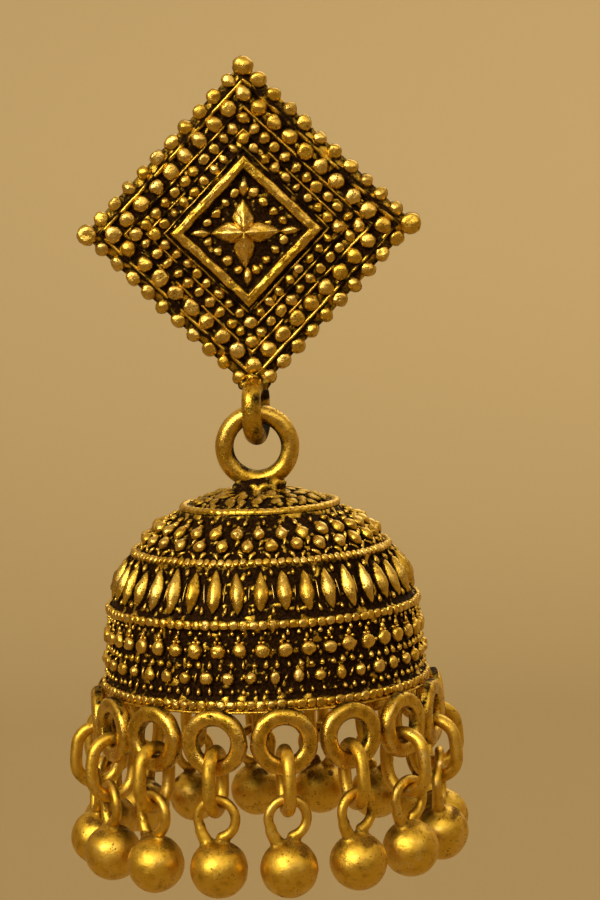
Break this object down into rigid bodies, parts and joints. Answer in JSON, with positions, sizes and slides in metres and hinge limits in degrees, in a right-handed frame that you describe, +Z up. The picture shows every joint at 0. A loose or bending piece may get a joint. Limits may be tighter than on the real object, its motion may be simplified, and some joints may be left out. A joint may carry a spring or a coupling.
{
  "type": "jhumka earring",
  "caption": "Jhumka earring: square stud plate hung on its point, hollow domed bell on a cast ring, and a fringe of ball drops on oval jump rings around the rim.",
  "frame": {"origin": "root of the ear post, in the plane of the flat rim on the stud plate's back, behind the plate's centre", "axes": "+Z up as it hangs, +Y out of the plate's back along the ear post, +X to the viewer's right from the front"},
  "size_m": [0.0271, 0.027, 0.0542],
  "materials": {
    "darkened_gold": "cast relief, gold worn bright on the high places over near-black oxidised recesses",
    "satin_gold": "satin gold plate with small pits and tarnish spots",
    "post_metal": "plain polished wire"
  },
  "bodies": {
    "stud": {"stud_plate": "darkened_gold", "ear_post": "post_metal"},
    "bell_drop": {"bell": "darkened_gold", "jump_ring_01": "satin_gold", "jump_ring_02": "satin_gold", "jump_ring_03": "satin_gold", "jump_ring_04": "satin_gold", "jump_ring_05": "satin_gold", "jump_ring_06": "satin_gold", "jump_ring_07": "satin_gold", "jump_ring_08": "satin_gold", "jump_ring_09": "satin_gold", "jump_ring_10": "satin_gold", "jump_ring_11": "satin_gold", "jump_ring_12": "satin_gold", "jump_ring_13": "satin_gold", "jump_ring_14": "satin_gold", "jump_ring_15": "satin_gold", "jump_ring_16": "satin_gold", "ball_drop_01": "satin_gold", "ball_drop_02": "satin_gold", "ball_drop_03": "satin_gold", "ball_drop_04": "satin_gold", "ball_drop_05": "satin_gold", "ball_drop_06": "satin_gold", "ball_drop_07": "satin_gold", "ball_drop_08": "satin_gold", "ball_drop_09": "satin_gold", "ball_drop_10": "satin_gold", "ball_drop_11": "satin_gold", "ball_drop_12": "satin_gold", "ball_drop_13": "satin_gold", "ball_drop_14": "satin_gold", "ball_drop_15": "satin_gold", "ball_drop_16": "satin_gold"}
  },
  "joints": [
    {"name": "bell_swing", "type": "hinge", "parent": "stud", "child": "bell_drop", "pos_m": [0, -0.0009, -0.0139], "axis": [0, 1, 0], "range_deg": [-60, 60]}
  ]
}
